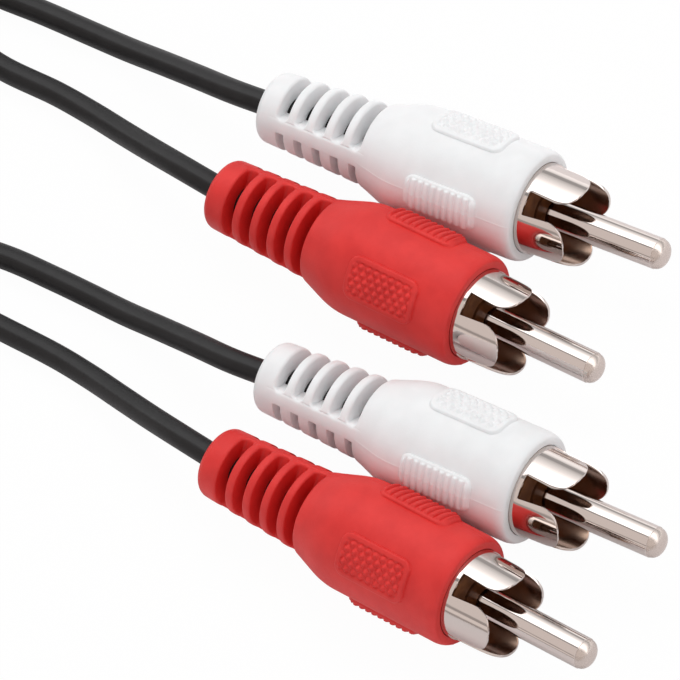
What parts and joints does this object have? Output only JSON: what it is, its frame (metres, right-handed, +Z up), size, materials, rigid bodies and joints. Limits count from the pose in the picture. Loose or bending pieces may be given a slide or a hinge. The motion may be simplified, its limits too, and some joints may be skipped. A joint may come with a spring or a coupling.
{
  "type": "stereo audio cable",
  "caption": "Twin audio cord with moulded red and white phono plugs on each end, ribbed grips and slotted strain reliefs.",
  "frame": {"origin": "middle of the plugs' footprint, on the surface that they lie on", "axes": "+X the way the plugs' pins point, +Z up from the surface"},
  "size_m": [0.1892, 0.0734, 0.0132],
  "materials": {
    "red_pvc": "matte moulded PVC",
    "white_pvc": "satin moulded PVC",
    "nickel": "bright nickel plating",
    "bush": "moulded plastic",
    "mould": "hard inner moulding",
    "jacket": "soft black PVC",
    "core": "foamed polyethylene",
    "copper": "bare copper strands",
    "tie": "plastic-covered wire"
  },
  "bodies": {
    "root": {"end_a_red_overmould": "red_pvc", "end_a_red_ground_shell": "nickel", "end_a_red_insulator": "bush", "end_a_red_centre_pin": "nickel", "end_a_red_inner_mould": "mould", "end_a_red_lead_end": "jacket", "end_a_red_core_insulation": "core", "end_a_red_core_conductor": "copper", "end_a_red_shield_pigtail": "copper", "lead_a_red": "jacket", "end_a_white_overmould": "white_pvc", "end_a_white_ground_shell": "nickel", "end_a_white_insulator": "bush", "end_a_white_centre_pin": "nickel", "end_a_white_inner_mould": "mould", "end_a_white_lead_end": "jacket", "end_a_white_core_insulation": "core", "end_a_white_core_conductor": "copper", "end_a_white_shield_pigtail": "copper", "lead_a_white": "jacket", "end_b_red_overmould": "red_pvc", "end_b_red_ground_shell": "nickel", "end_b_red_insulator": "bush", "end_b_red_centre_pin": "nickel", "end_b_red_inner_mould": "mould", "end_b_red_lead_end": "jacket", "end_b_red_core_insulation": "core", "end_b_red_core_conductor": "copper", "end_b_red_shield_pigtail": "copper", "lead_b_red": "jacket", "end_b_white_overmould": "white_pvc", "end_b_white_ground_shell": "nickel", "end_b_white_insulator": "bush", "end_b_white_centre_pin": "nickel", "end_b_white_inner_mould": "mould", "end_b_white_lead_end": "jacket", "end_b_white_core_insulation": "core", "end_b_white_core_conductor": "copper", "end_b_white_shield_pigtail": "copper", "lead_b_white": "jacket", "trunk_run_a": "jacket", "trunk_run_b": "jacket", "trunk_coil": "jacket", "coil_tie": "tie"}
  },
  "joints": []
}
